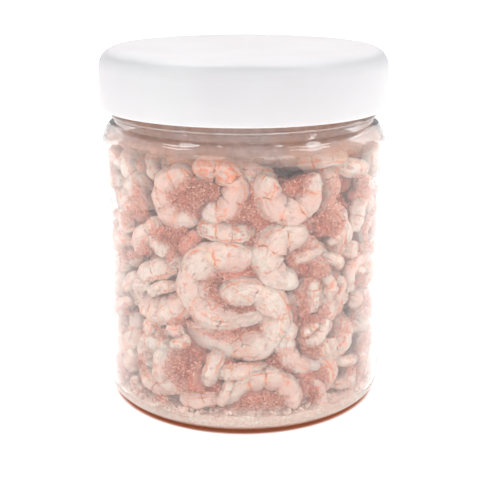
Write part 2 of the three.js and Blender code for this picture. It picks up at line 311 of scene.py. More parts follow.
def driedShrimp(name, dusty):
    s, c = shrimpLines, shrimpColours
    sheet = Sheet(name)
    body = sheet.add("Attribute", {"attribute_name": "bodyPlace"}, {}, "Vector")
    along, back, tint = (sheet.add("SeparateXYZ", {}, {0: body}, axis) for axis in range(3))
    wander = sheet.noise(3.4, 2) - 0.5
    fleck = sheet.noise(1.5, 3, 0.6)

    # a line at the border of each segment, broken and wandering
    border = sheet.maths("PINGPONG", along * shrimpBody["segments"] + wander * s["wander"], 0.5)
    ragged = (sheet.noise(0.8, 2) - 0.5) * s["ragged"]
    borderLine = 1 - sheet.step(border + ragged, 0, s["borderWidth"])
    broken = sheet.step(sheet.noise(4.2, 1), 0.44, 0.58)

    # the strip along the back is set off by a line on each side
    offset = sheet.maths("ABSOLUTE", back - s["stripPlace"] + wander * 0.2)
    stripLine = 1 - sheet.step(offset + ragged * 1.4, 0, s["stripWidth"])
    stripBroken = sheet.step(sheet.noise(6, 1), 0.42, 0.56)

    # a net of finer lines between them
    bent = sheet.add("VectorMath", {"operation": "MULTIPLY_ADD"}, {
        0: sheet.add("TexNoise", {}, {"Vector": sheet.place(), "Scale": 1 / (2.2 * mm)}, "Color"),
        1: (1.8 * mm, 1.8 * mm, 1.8 * mm),
        2: sheet.place(),
    })
    net = sheet.cells(s["netSize"], "DISTANCE_TO_EDGE", bent)
    netLine = 1 - sheet.step(net + ragged * 0.5, 0, s["netWidth"])
    netBroken = sheet.step(sheet.noise(3.1, 2), 0.52, 0.62)

    lines = sheet.maths("MAXIMUM", borderLine * broken, stripLine * stripBroken)
    lines = sheet.maths("MAXIMUM", lines, netLine * netBroken * 0.85)
    strong = 0.5 + sheet.step(sheet.noise(11, 1) + tint * 0.3, 0.5, 0.75) * 0.5
    borderGlow = (1 - sheet.step(border, 0.02, s["glowWidth"])) * broken
    netGlow = (1 - sheet.step(net, 0, s["glowWidth"])) * netBroken * 0.7
    glow = sheet.maths("MAXIMUM", borderGlow, netGlow)

    # fine furrows run along the body; they are bumped and painted darker, painted shade
    stretched = sheet.add("VectorMath", {"operation": "MULTIPLY"}, {0: body, 1: s["furrows"]})
    grainAlong = sheet.add("TexNoise", {}, {"Vector": stretched, "Scale": 1, "Detail": 3, "Distortion": 0.6})
    shadedFurrow = 1 - sheet.step(sheet.maths("ABSOLUTE", grainAlong - 0.5), 0.004, 0.024)
    shadedFurrow = shadedFurrow * sheet.step(sheet.noise(2.6, 1), 0.4, 0.55)

    chalk = sheet.step(fleck, 0.35, 0.62)
    blush = sheet.step(sheet.noise(7, 2) + tint * 0.25 - back * 0.08, 0.46, 0.84)
    flesh = sheet.mix(chalk, c["cream"], c["chalk"])
    flesh = sheet.mix(blush * 0.75, flesh, c["blush"])
    flesh = sheet.mix(glow * strong * 0.4, flesh, c["glow"])
    # painted shade in the furrows
    flesh = sheet.mix(shadedFurrow * 0.8, flesh, c["shadedFurrow"])
    tail = sheet.step(along, *s["tail"])  # the tail is whiter and has no lines
    flesh = sheet.mix(lines * strong * (1 - tail) * 0.9, flesh, c["line"])
    flesh = sheet.mix(tail * 0.6, flesh, c["chalk"])
    spots = sheet.step(sheet.noise(2.3, 1), 0.66, 0.74) * sheet.step(sheet.noise(9, 1), 0.5, 0.6)
    flesh = sheet.mix(spots * 0.6, flesh, c["spot"])
    # a tint above 1 makes the head half marbled
    marbled = sheet.step(tint, 1, 1.5) * sheet.step(sheet.noise(1.5, 3, 0.6), 0.45, 0.6)
    flesh = sheet.mix(marbled * (1 - sheet.step(along, 0.35, 0.6)) * 0.8, flesh, c["line"])
    # painted shade: the creases at the segment borders are painted dark
    crease = 1 - sheet.step(border + ragged * 0.3, 0, s["creaseWidth"])
    crease = crease * sheet.step(sheet.noise(2.8, 1), 0.5, 0.56)
    flesh = sheet.mix(crease * 0.8, flesh, c["crease"])
    dustColour = sheet.mix(sheet.step(sheet.height(), *s["brownFrom"]), c["dust"], c["deepDust"])
    flesh = sheet.mix(sheet.step(fleck, 0.1, 0.6) * dusty, flesh, dustColour)

    relief = sheet.bump(sheet.noise(0.8, 4, 0.65), 0.2, 0.9)
    relief = sheet.bump(lines + shadedFurrow * 0.7, -0.16, 0.8, relief)
    return sheet.surface({
        "Base Color": flesh,
        "Roughness": 0.72 + fleck * 0.2,
        "Specular IOR Level": 0.25,
        "Subsurface Weight": 0.4,
        "Subsurface Radius": (1, 0.5, 0.34),
        "Subsurface Scale": 0.0018,
        "Normal": relief,
    })


def crumbs(name, light, dark):
    sheet = Sheet(name)
    speck = sheet.step(sheet.noise(0.9, 3, 0.65), 0.36, 0.66)
    patch = sheet.step(sheet.noise(5, 2), 0.4, 0.65)
    flesh = sheet.mix(speck, dark, light)
    flesh = sheet.mix(patch * 0.3, flesh, colour(242, 196, 178))
    foot = 1 - sheet.step(sheet.height(), 1.6 * mm, 3 * mm)  # painted shade: the crumbs are brown at the very bottom, a dark line where the jar meets the floor
    return sheet.surface({
        # the brown at the foot is painted shade
        "Base Color": sheet.mix(foot, flesh, colour(196, 116, 76)),
        "Roughness": 0.85 + speck * 0.1,
        "Specular IOR Level": 0.3,
        "Normal": sheet.bump(speck, 0.25, 0.8),
    })


def heapMiddleDustAndShade():
    sheet = Sheet("heapMiddleDustAndShade")
    speck = sheet.step(sheet.noise(0.55, 3, 0.7), 0.42, 0.66)
    brown = sheet.step(sheet.height(), 70 * mm, 75 * mm)
    # deep red-brown: partly powder colour, partly painted shade of the heap's depth
    deep = sheet.mix(brown, colour(214, 104, 84), colour(206, 96, 40))
    return sheet.surface({
        "Base Color": sheet.mix(speck * 0.6, deep, colour(244, 186, 162)),
        "Roughness": 0.9,
        "Specular IOR Level": 0.2,
        "Normal": sheet.bump(speck, 0.3, 0.8),
    })


def wallFilm():
    sheet = Sheet("wallFilm")
    height = sheet.height()
    edge = 1 - sheet.step(height + (sheet.noise(6, 2) - 0.5) * (4 * mm), 73.2 * mm, 74.6 * mm)
    speck = sheet.step(sheet.noise(0.34, 2, 0.6), 0.56, 0.66)
    cloud = sheet.step(sheet.noise(11, 3), 0.3, 0.72)
    low = 1 - sheet.step(height, 6 * mm, 26 * mm)
    # between the shrimp the dust is thick and full of specks; its red-brown and dark specks are partly the powder's
    # colour and partly painted shade of the gaps
    gap = sheet.add("Attribute", {"attribute_name": "gap"}, {}, "Fac")
    gap = sheet.step(gap + (sheet.noise(1.3, 2) - 0.5) * 0.6, 0.3, 0.7)
    bright = 1 - sheet.step(sheet.cells(0.76), 0.22, 0.4)
    dark = 1 - sheet.step(sheet.cells(0.94), 0.2, 0.4)
    gapPowderAndShade = sheet.mix(cloud, colour(202, 106, 84), colour(222, 144, 120))
    gapPowderAndShade = sheet.mix(dark, sheet.mix(bright, gapPowderAndShade, colour(246, 200, 180)), colour(156, 90, 74))
    fine = sheet.mix(speck, colour(236, 190, 176), colour(246, 218, 206))
    thin = 0.01 + cloud * 0.02 + speck * (0.05 + cloud * 0.12) + low * 0.05
    thick = 0.24 + bright * 0.3 + dark * 0.18
    return sheet.surface({
        "Base Color": sheet.mix(gap, fine, gapPowderAndShade),
        "Roughness": 0.95,
        "Specular IOR Level": 0.2,
        "Alpha": edge * (thin + gap * thick),
    })


def hazeAndPaintedLight():
    sheet = Sheet("hazeAndPaintedLight")
    cloud = sheet.step(sheet.noise(9, 3), 0.3, 0.7)
    streak = sheet.step(sheet.noise(2.2, 2), 0.35, 0.65)
    # painted light: the pale haze grows thicker higher up, brightening the shaded headspace under the lid
    high = sheet.step(sheet.height(), 76.5 * mm, 81 * mm)
    return sheet.surface({
        "Base Color": sheet.mix(cloud, colour(240, 214, 206), colour(232, 190, 172)),
        "Roughness": 0.95,
        "Specular IOR Level": 0.2,
        "Alpha": (0.27 + cloud * 0.1 + streak * 0.07) * (0.25 + high),
    })


def paleFloor():
    sheet = Sheet("paleFloor")
    fleck = sheet.noise(40, 2)
    away = sheet.add("VectorMath", {"operation": "LENGTH"}, {0: sheet.place()}, 1)
    glow = sheet.step(away, 43 * mm, 110 * mm)  # painted light: the paper glows more away from the jar, beyond its shadow
    under = 1 - sheet.step(away, 39.6 * mm, 41.8 * mm)  # painted shadow: the paper under the jar's rim is painted brown and barely glows
    paper = sheet.mix(fleck, colour(246, 246, 246), colour(248, 248, 248))
    light = sheet.mix(under, (0.6, 0.6, 0.6, 1), (0.05, 0.015, 0.004, 1))
    return sheet.surface({
        # brown under the jar: a painted contact shadow
        "Base Color": sheet.mix(under, paper, colour(192, 118, 86)),
        "Roughness": 0.8,
        # the paper glows, dimmer near the jar and dim brown under it: painted light and shade
        "Emission Color": sheet.mix(glow, light, (0.7, 0.7, 0.7, 1)),
        "Emission Strength": 1,
    })


# Turned pieces
def arc(centreRadius, centreHeight, across, up, start, end, steps):
    points = []
    for i in range(steps + 1):
        angle = math.radians(start + (end - start) * i / steps)
        points.append((centreRadius + across * math.cos(angle), centreHeight + up * math.sin(angle)))
    return points


def drawn(bm, profile, ring):  # a line, or a ring, through points of (radius, height)
    verts = [bm.verts.new((radius, 0, height)) for radius, height in profile]
    edges = [bm.edges.new(pair) for pair in zip(verts, verts[1:])]
    if ring:
        edges.append(bm.edges.new((verts[-1], verts[0])))
    return verts + edges


def spun(profile, steps, ring=False):  # a profile turned about the jar's axis
    bm = bmesh.new()
    line = drawn(bm, profile, ring)
    bmesh.ops.spin(bm, geom=line, cent=(0, 0, 0), axis=(0, 0, 1), angle=math.tau, steps=steps, use_merge=True)
    bmesh.ops.remove_doubles(bm, verts=bm.verts, dist=1e-4)
    bmesh.ops.recalc_face_normals(bm, faces=bm.faces)
    return bm


def objectOf(name, bm):
    mesh = bpy.data.meshes.new(name)
    bm.to_mesh(mesh)
    bm.free()
    return linked(name, mesh)


def fused(bm, extra):  # one solid of two that overlap
    whole = objectOf("whole", bm)
    part = objectOf("part", extra)
    joiner = whole.modifiers.new("fuse", "BOOLEAN")
    joiner.operation = "UNION"
    joiner.solver = "MANIFOLD"
    joiner.object = part
    bpy.context.view_layer.update()
    made = bmesh.new()
    made.from_object(whole, bpy.context.evaluated_depsgraph_get())
    bpy.data.objects.remove(whole)
    bpy.data.objects.remove(part)
    return made


def finishPiece(name, bm, material, slotName, *nodes, sharp=35):
    bmesh.ops.scale(bm, vec=(mm, mm, mm), verts=bm.verts)
    piece = objectOf(name, bm)
    piece.data.shade_smooth()
    piece.data.set_sharp_from_angle(angle=math.radians(sharp))
    piece.data.materials.append(material)
    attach(piece, "root")
    if nodes:
        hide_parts(*nodes)
    print(name, sum(len(face.vertices) - 2 for face in piece.data.polygons), "triangles")
    return piece


threads = {
    "pitch": 5,
    "turns": 1.25,
    "neckDepth": 1.1,
    "lidDepth": 1.6,
    "start": 91.5,
    "root": 0.4,
    "foot": 0.8,
    "crest": 0.35,
    "stub": 0.15,
    "runOut": 8,
    "steps": 90,
}


def screwRidge(rootRadius, direction, depth, start):
    bm = bmesh.new()
    root = rootRadius - direction * threads["root"]
    crest = rootRadius + direction * depth
    foot, narrow = threads["foot"], threads["crest"]
    section = [(root, start - foot), (crest, start - narrow), (crest, start + narrow), (root, start + foot)]
    rise = threads["pitch"] * threads["turns"]
    bmesh.ops.spin(
        bm,
        geom=drawn(bm, section, True),
        cent=(0, 0, 0),
        axis=(0, 0, 1),
        dvec=(0, 0, rise / threads["steps"]),
        angle=math.tau * threads["turns"],
        steps=threads["steps"],
    )
    bmesh.ops.holes_fill(bm, edges=bm.edges, sides=4)
    for vert in bm.verts:  # the ridge runs out at both ends
        share = math.atan2(vert.co.y, vert.co.x) / math.tau
        guess = (vert.co.z - start) / threads["pitch"]
        t = (share + round(guess - share)) / threads["turns"]
        grow = min(1, max(0, t * threads["runOut"]), max(0, (1 - t) * threads["runOut"]))
        grow = threads["stub"] + (1 - threads["stub"]) * grow
        radius = math.hypot(vert.co.x, vert.co.y)
        if direction * (radius - rootRadius) > 0:
            scale = (rootRadius + (radius - rootRadius) * grow) / radius
            vert.co.x *= scale
            vert.co.y *= scale
    bmesh.ops.recalc_face_normals(bm, faces=bm.faces)
    return bm


def makeJar():
    j = jar
    shoulder = j["shoulderStart"]
    dome = [(j["footRadius"] * across, j["pushUp"] * up) for across, up in ((1, 0), *j["dome"], (0, 1))]
    profile = [
        *dome[::-1],
        *arc(j["radius"] - j["heel"], j["heel"], j["heel"], j["heel"], -90, 0, 12),
        *arc(j["neckRadius"], shoulder, j["radius"] - j["neckRadius"], j["shoulderTop"] - shoulder, 0, 90, 14),
        *arc(j["neckRadius"], j["beadHeight"], j["beadRadius"] - j["neckRadius"], j["beadHalf"], -90, 90, 8),
        *arc(j["neckRadius"] - j["lip"], j["neckTop"] - j["lip"], j["lip"], j["lip"], 0, 90, 4),
        *arc(insideNeck + j["lip"], j["neckTop"] - j["lip"], j["lip"], j["lip"], 90, 180, 4),
        *arc(insideNeck, shoulder, insideRadius - insideNeck, insideShoulder - shoulder, 90, 0, 14),
        *arc(insideRadius - innerHeel, j["baseThickness"] + innerHeel, innerHeel, innerHeel, 0, -90, 10),
        *[(radius, j["baseThickness"] + height) for radius, height in dome[1:]],
    ]
    ridge = screwRidge(j["neckRadius"], 1, threads["neckDepth"], threads["start"])
    whole = fused(spun(profile, j["turnSteps"]), ridge)
    finishPiece("clearJar", whole, clearPlastic(), "clear_plastic", "jar")


lid = {
    "radius": lidHigh.x,
    "bottom": lidLow.z,
    "top": lidHigh.z,
    "rounding": 5.8,
    "skirt": 1.5,
    "panel": 1.9,
    "inset": 1,
    "rim": 0.5,
    "innerRim": 0.3,
    "turnSteps": 128,
}


def makeLid():
    inner = lid["radius"] - lid["skirt"]
    ceiling = lid["top"] - lid["panel"]
    rim, innerRim, inset, rounding = lid["rim"], lid["innerRim"], lid["inset"], lid["rounding"]
    profile = [
        (0, ceiling),
        *arc(inner - inset, ceiling - inset, inset, inset, 90, 0, 4),
        *arc(inner + innerRim, lid["bottom"] + innerRim, innerRim, innerRim, 180, 270, 3),
        *arc(lid["radius"] - rim, lid["bottom"] + rim, rim, rim, -90, 0, 4),
        *arc(lid["radius"] - rounding, lid["top"] - rounding, rounding, rounding, 0, 90, 16),
        (0, lid["top"]),
    ]
    start = threads["start"] - threads["pitch"] / 2
    whole = fused(spun(profile, lid["turnSteps"]), screwRidge(inner, -1, threads["lidDepth"], start))
    finishPiece("screwLid", whole, whitePlastic(), "white_plastic", "screw_lid")


# One shrimp. It is curled in its own XY plane about the origin, its back towards +X and its head end towards +Y.
# along runs from 0 at the head end to 1 at the tail. back is 1 on the back and -1 on the belly, side is 0 on both.
shrimpBody = {
    "segments": 5,
    "swell": 0.05,
    "flatness": 0.88,
    "slimFrom": 0.4,
    "fanFrom": 0.8,  # the tail piece is set off from the body
    "fanUntil": 0.9,
    "headSlimming": 0.2,
    "headUntil": 0.2,
    "wander": 0.25,
    "headRound": 0.06,
    "tailRound": 0.07,
    "squareness": 2.7,  # 2 makes round ends, more makes blunt ones
    "boxiness": 2.6,  # the same for the body's section
    "bow": 0.16,  # how far a segment's border bends towards the tail on the side
    "crease": 0.08,
    "creaseWidth": 0.09,
    "bellyNotch": 0.2,
    "overlap": 0.08,
    "bellyNarrow": 0.24,
    "stripGroove": 0.04,
    "wrinkle": (0.34, 3.4),  # height and size in millimetres
    "pucker": (0.15, 1.2),
    "fold": (0.32, 4.4),
    "foldWidth": 0.07,
    "strip": (0.8, 0.06),  # where the groove beside the strip lies, and its width
    "waves": 7,
    "twists": 3.6,
    "unlike": 40,  # how much one step of tint shifts the patterns
    "endRings": 0.08,
    "leastRings": 14,
    "leastSides": 10,
}


def smooth(value, start, end):
    share = np.clip((value - start) / (end - start), 0, 1)
    return share * share * (3 - 2 * share)


def midlineAt(shrimp, along):
    angle = np.radians(shrimp["sweep"] * (0.5 - along))
    radius = shrimp["curl"] * (1 + shrimp["lead"] * (1 - along) ** 3 + shrimp["trail"] * along**6)
    shift = shrimp.get("tint", 0) * shrimpBody["unlike"]
    radius = radius + shrimpBody["wander"] * np.sin(shrimpBody["waves"] * along + shift)
    return np.stack([radius * np.cos(angle), radius * np.sin(angle)], 1)


def midline(shrimp, along):  # points on the body's middle line, and the way to its back there
    ahead = midlineAt(shrimp, along + 0.002) - midlineAt(shrimp, along - 0.002)
    ahead /= np.linalg.norm(ahead, axis=1)[:, None]
    return midlineAt(shrimp, along), np.stack([-ahead[:, 1], ahead[:, 0]], 1)


def bodyHalf(shrimp, along):
    b = shrimpBody
    slimming = 0.45 * smooth(along, b["slimFrom"], 1) + 0.55 * smooth(along, b["fanFrom"], b["fanUntil"])
    head = 1 - b["headSlimming"] * (1 - smooth(along, 0, b["headUntil"]))
    return shrimp["thick"] / 2 * (1 - shrimp["tail"] * slimming) * head


def noiseAt(points, size, shift):
    return np.array([noise.noise(Vector(point) / size + shift) for point in points])


def bodyPoints(shrimp, along, back, side):
    b = shrimpBody
    wobble = shrimp["tint"] * b["unlike"]
    count = b["segments"] * along - b["bow"] * np.abs(side)
    within = count - np.floor(count)
    crease = np.exp(-((np.minimum(within, 1 - within) / b["creaseWidth"]) ** 2))
    crease *= smooth(along, 0.06, 0.12) * smooth(1 - along, 0.03, 0.08)
    belly = smooth(-back, -0.1, 0.9)
    stripPlace, stripWidth = b["strip"]
    groove = np.exp(-(((back - stripPlace) / stripWidth) ** 2))
    share = 1 - b["swell"] * np.cos(math.tau * b["segments"] * along) + b["overlap"] * (within - 0.5)
    share -= (b["crease"] + b["bellyNotch"] * belly) * crease + b["stripGroove"] * groove
    head = np.clip(1 - along / b["headRound"], 0, 1)
    tail = np.clip(1 - (1 - along) / b["tailRound"], 0, 1)
    ends = ((1 - head ** b["squareness"]) * (1 - tail ** b["squareness"])) ** (1 / b["squareness"])
    half = bodyHalf(shrimp, along) * share * ends
    boxy = (np.abs(back) ** b["boxiness"] + np.abs(side) ** b["boxiness"]) ** (-1 / b["boxiness"])
    back, side = back * boxy, side * boxy
    spots, toBack = midline(shrimp, along)
    twist = shrimp["twist"] * np.sin(b["twists"] * along + wobble)
    inPlace = np.column_stack([spots + toBack * (half * back)[:, None], half * side])
    for height, size in (b["wrinkle"], b["pucker"]):
        half = half + height * ends * noiseAt(inPlace, size, Vector((wobble, 7 * size, -wobble)))
    depth, size = b["fold"]
    ridge = noiseAt(inPlace, size, Vector((-wobble, wobble, 3)))
    half = half - depth * ends * np.exp(-((ridge / b["foldWidth"]) ** 2)) * (half > 1.5)
    across = -half * b["flatness"] * side * (1 - b["bellyNarrow"] * belly) + twist
    return np.column_stack([spots + toBack * (half * back)[:, None], across])


def turned(points, *turns):  # each turn is an angle and its axis, taken one after the other
    for angle, axis in turns:
        points = points @ np.array(Matrix.Rotation(angle, 3, axis)).T
    return points


def reachAt(height):  # how far out a shrimp may lie at a height, less a hair's breadth
    rise = np.clip((height - jar["shoulderStart"]) / (insideShoulder - jar["shoulderStart"]), 0, 1)
    narrower = (insideRadius - insideNeck) * (1 - np.sqrt(1 - rise * rise))
    fall = np.clip((jar["baseThickness"] + innerHeel - height) / innerHeel, 0, 1)
    return heap["reach"] - narrower - innerHeel * (1 - np.sqrt(1 - fall * fall))


def flattened(height):  # what would sink into the crumbs is pressed flat there
    return np.maximum(height, heap["floor"] + (height - heap["floor"]) * heap["pressed"])


def laid(shrimp, points, along, halves=0):  # the points of a shrimp, brought to its place in the heap
    if "spot" in shrimp:
        return turned(points, *shrimp["turns"]) + shrimp["spot"]
    # roll turns it as seen from outside the jar, and turn rolls it over on its long axis
    points = turned(points, (math.radians(-shrimp["turn"]), "Y"), (math.radians(shrimp["roll"]), "Z"))
    foremost = (points[:, 2] + halves * shrimpBody["flatness"]).max()
    level = min(shrimp["height"], heap["top"] - (points[:, 1] + halves).max())
    across = points[:, 0]
    height = flattened(points[:, 1] + level)
    depth = shrimp["inset"] + foremost - points[:, 2] + shrimp["sink"] * smooth(along, *heap["sinking"])
    outward = np.sqrt(np.maximum(0, heap["reach"] ** 2 - across**2)) - depth
    squeeze = np.minimum(1, reachAt(height) / np.hypot(across, outward))
    bearing = math.radians(shrimp["around"])
    x = (across * math.cos(bearing) + outward * math.sin(bearing)) * squeeze
    y = (across * math.sin(bearing) - outward * math.cos(bearing)) * squeeze
    return np.stack([x, y, height], 1)


heap = {
    "reach": insideRadius - 0.3,
    "top": heapHigh.z,
    "floor": 3.9,
    "pressed": 0.1,
    "sinking": (0.6, 0.9),
    "ballShares": np.array((0.05, 0.16, 0.27, 0.39, 0.5, 0.62, 0.73, 0.84, 0.95)),
    "closeness": 0.84,
    "closenessInside": 0.68,
    "pushStep": 0.8,
    "pushLimit": 12.5,
    "twist": (0.3, 0.9),  # at the front, and elsewhere
    "meshSteps": (0.47, 0.85, 1.1),  # at the front, at the wall and inside
    "seed": 3,
}


def ballsOf(shrimp):  # a row of balls that stands for the body while the heap is filled
    along = heap["ballShares"]
    centres = np.column_stack([midlineAt(shrimp, along), 0 * along])
    halves = bodyHalf(shrimp, along)
    return np.column_stack([laid(shrimp, centres, along, halves), halves])


def clashes(balls, others, closeness):
    apart = np.linalg.norm(balls[:, None, :3] - others[None, :, :3], axis=2)
    return bool((apart < (balls[:, None, 3] + others[None, :, 3]) * closeness).any())


# The shrimps that show at the front, from the top down. tail is the share of the thickness that is lost there.
shrimpWords = ("around", "height", "inset", "roll", "turn", "thick", "curl", "sweep", "lead", "trail", "sink", "tail")
usualEnds = {"lead": 0, "trail": 0, "sink": 0, "tail": 0.45}  # what a shorter row leaves out
frontShrimps = [
    (-57, 75.5, 0.3, 40, 78, 5.6, 6.5, 190),
    (-44, 75.5, 4.5, 40, 100, 5.0, 6, 170),
    (42, 77.2, 1.6, 84, 70, 5.6, 6, 190),
    (57, 73, 0.3, 76, 95, 6.4, 5.5, 200),
    (-11.6, 69.5, 0.5, 8, 0, 7.1, 5.4, 262, 0.25, 0, 0, 0.3),
    (-27, 66.9, 1.2, 4, 180, 7.8, 5.6, 250, 0, 0.1, 0, 0.4),
    (19.8, 70.3, 0.4, 88, 180, 7.8, 6.7, 240, 0, 0, 0, 0.35),
    (3, 72.4, 5.2, 78, 80, 6.8, 6, 180),
    (-56, 67.5, 0.6, 14, 70, 7.8, 5.4, 210),
    (40, 68, 3.5, 8, 70, 7, 6, 200),
    (-7.3, 57.9, 0.4, 87, 84, 6.2, 6.2, 170),
    (-46.6, 53.9, 0.3, 138, 88, 7.6, 5.2, 190),
    (18.4, 50.3, 0, -8, 180, 8.8, 5.4, 256, 0.3, 0.15, 0, 0.3),
    (26.5, 45, 4.4, -10, 4, 6.8, 7.8, 210),
    (46, 55, 1.2, 6, 82, 7.4, 8, 180),
    (-9.7, 42.7, 0, 4, 180, 9.6, 7.3, 290, 0.45, 1, 0, 0.6),
    (2.8, 33.6, 0.2, -14, 0, 8.6, 7, 312, 0.35, 1.5, 5, 0.2),
    (-44, 43.5, 0.8, -64, 92, 7.4, 8, 150),
    (-41.5, 43.2, 1.2, -88, 12, 8.4, 11, 110, 0, 0, 0, 0.3),
    (-45, 24.8, 3.2, 84, 84, 5.6, 6, 180),
    (31.4, 33, 2.6, 4, 4, 7.4, 6.2, 240, 0, 0, 0, 0.35),
    (28, 25.9, 0.2, 32, 180, 6, 7, 170, 0, 0.3),
    (-43, 17.5, 1.8, -52, 172, 7, 5.2, 220),
    (-31.5, 15.8, 0.2, 14, 138, 7, 5.4, 210),
    (-13.8, 17.7, 0.8, -16, 90, 5.8, 4.6, 190),
    (-0.8, 16.4, 1.2, 96, 78, 5.6, 5.8, 190),
    (-7.6, 11.2, 0.6, -24, 94, 4.2, 3.4, 190),
    (11, 9.2, 0.2, -100, 180, 6.8, 6.4, 210, 0, 0.9),
    (-20, 8.2, 0.6, 102, 92, 5.6, 5, 190),
    (36, 13.5, 0.8, 14, 60, 7, 5.6, 210),
    (-47, 9.5, 1.2, 60, 80, 6, 5, 200),
    (46, 36, 2.2, 12, 76, 7.6, 6.4, 200),
    (49, 22, 1.2, -40, 88, 7.4, 6, 190),
]
strongTints = {4: 1.6, 6: 0.9, 9: 0.9, 31: 1.1}  # the ones with bolder orange lines, by row

# The rest of the wall is covered in rows, others lie on top, and gaps are filled from behind, then with chips.
# A pair holds the ends between which a number is drawn.
rows = {
    "heights": (11.5, 25.5, 39.5, 53.5, 67),
    "first": 60,
    "last": 298,
    "inRow": 9,
    "places": (0.25, 0.75),  # where a row starts, by turns
    "uneven": (-4, 4),
    "lift": (-2.5, 2.5),
    "inset": (0, 1.6),
    "edgeOn": 0.4,  # the share that is seen edge-on
    "tilt": (-22, 22),
    "sizes": {"thick": (6, 8), "curl": (5.2, 7.4), "sweep": (190, 265), "trail": (0, 0.5)},
    "tail": 0.4,
    "seed": 20,
}
top = {
    "ring": 8,
    "ringRadius": (17, 24),
    "middleRadius": 2,
    "uneven": (-10, 10),
    "level": 71,
    "lift": (0.5, 3.5),
    "lean": (-0.5, 0.5),
    "sizes": {"thick": (6, 8), "curl": (5, 7), "sweep": (190, 260)},
    "more": 160,
    "moreRadius": 33,
    "moreLift": (-2, 2.5),
    "mostMore": 22,
}
fill = {
    "tries": 1900,
    "closeTries": 1 / 3,
    "heights": (7, heap["top"] - 6),
    "inset": (0, 1),
    "brokenShare": 0.35,
    "brokenSizes": {"sweep": (60, 130), "thick": (4.5, 6.5)},
    "frontBearing": 62,
    "frontInset": 3.4,
    "mostAtWall": 110,
    "mostInside": 190,
    "wallInset": 3.4,
    "seed": 5,
}
chips = {
    "tries": 1700,
    "places": {"around": (22, 332), "height": (7, 57), "inset": (0, 0.6)},
    "sizes": {"thick": (3.5, 5.5), "curl": (3.6, 5), "sweep": (60, 190)},
    "most": 260,
}


class Draw:  # a small seeded random source, the same one that scattered the solids
    def __init__(self, seed):
        self.seed = seed

    def share(self):
        self.seed = (self.seed * 1664525 + 1013904223) % 2**32
        return self.seed / 2**32

    def between(self, low, high):
        return low + (high - low) * self.share()

    def each(self, ranges):
        return {word: self.between(*ends) for word, ends in ranges.items()}


def wallShrimp(draw, around, height, inset):
    made = {"around": around, "height": height, "inset": inset, "lead": 0, "sink": 0, "tail": rows["tail"]}
    made["roll"] = draw.between(0, 360)
    if draw.share() < rows["edgeOn"]:
        turn = 90
    else:
        turn = 0 if draw.share() < 0.5 else 180
    made["turn"] = turn + draw.between(*rows["tilt"])
    return {**made, **draw.each(rows["sizes"])}


def topShrimp(draw, radius, bearing, lift):
    made = {"lead": 0, "trail": 0, "tail": rows["tail"], **draw.each(top["sizes"])}
    roll = draw.between(0, math.tau)
    made["turns"] = ((roll, "Z"), (draw.between(*top["lean"]), "X"), (draw.between(*top["lean"]), "Y"))
    height = top["level"] + draw.between(*lift)
    made["spot"] = np.array((radius * math.sin(bearing), -radius * math.cos(bearing), height))
    return made


def layHeap():  # every shrimp's place, those at the front first, the others pushed in until they are clear
    front = [{**usualEnds, **dict(zip(shrimpWords, numbers))} for numbers in frontShrimps]
    wall, onTop, inside = [], [], []
    balls = np.concatenate([ballsOf(shrimp) for shrimp in front])

    def fits(shrimp, closeness):
        nonlocal balls
        own = ballsOf(shrimp)
        if clashes(own, balls, closeness):
            return False
        balls = np.concatenate([balls, own])
        return True

    def pushIn(shrimp, limit, closeness):
        start = shrimp["inset"]
        while shrimp["inset"] < start + limit:
            if fits(shrimp, closeness):
                return True
            shrimp["inset"] += heap["pushStep"]
        return False

    draw = Draw(rows["seed"])
    step = (rows["last"] - rows["first"]) / rows["inRow"]
    for row, rowHeight in enumerate(rows["heights"]):
        for k in range(rows["inRow"]):
            around = rows["first"] + step * (k + rows["places"][row % 2]) + draw.between(*rows["uneven"])
            height = rowHeight + draw.between(*rows["lift"])
            shrimp = wallShrimp(draw, around, height, draw.between(*rows["inset"]))
            if pushIn(shrimp, heap["pushLimit"], heap["closeness"]):
                (wall if shrimp["inset"] < fill["wallInset"] else inside).append(shrimp)
    for k in range(top["ring"] + 1):
        radius = draw.between(*top["ringRadius"]) if k else top["middleRadius"]
        bearing = math.radians(k * 360 / top["ring"] + draw.between(*top["uneven"]))
        onTop.append(topShrimp(draw, radius, bearing, top["lift"]))
        balls = np.concatenate([balls, ballsOf(onTop[-1])])

    draw = Draw(fill["seed"])
    for k in range(fill["tries"]):
        around = draw.between(-180, 180)
        height = draw.between(*fill["heights"])
        inFront = abs(around) < fill["frontBearing"]
        shrimp = wallShrimp(draw, around, height, fill["frontInset"] if inFront else draw.between(*fill["inset"]))
        if draw.share() < fill["brokenShare"]:
            shrimp.update(draw.each(fill["brokenSizes"]))
        crowded = inFront or k > fill["tries"] * fill["closeTries"]
        closeness = heap["closenessInside"] if crowded else heap["closeness"]
        if len(inside) < fill["mostInside"] and pushIn(shrimp, heap["pushLimit"] - shrimp["inset"], closeness):
            nearWall = shrimp["inset"] < fill["wallInset"] and len(wall) < fill["mostAtWall"]
            (wall if nearWall else inside).append(shrimp)
    for k in range(chips["tries"]):
        shrimp = wallShrimp(draw, **draw.each(chips["places"]))
        shrimp.update(draw.each(chips["sizes"]))
        if len(wall) < chips["most"] and fits(shrimp, heap["closenessInside"]):
            wall.append(shrimp)
    for k in range(top["more"]):
        radius = top["moreRadius"] * math.sqrt(draw.share())
        shrimp = topShrimp(draw, radius, draw.between(0, math.tau), top["moreLift"])
        if len(onTop) < top["mostMore"] and fits(shrimp, heap["closenessInside"]):
            onTop.append(shrimp)

    tints = random.Random(heap["seed"])
    for group, mostTwist in zip((front, wall + onTop + inside), heap["twist"]):
        for shrimp in group:
            shrimp["tint"] = tints.random()
            shrimp["twist"] = tints.uniform(-mostTwist, mostTwist)
    for index, tint in strongTints.items():
        front[index]["tint"] = tint
    print(f"heap: {len(front)} at the front, {len(wall)} at the wall, {len(onTop)} on top, {len(inside)} inside")
    return front, wall + onTop, inside


bodyBlanks = {}


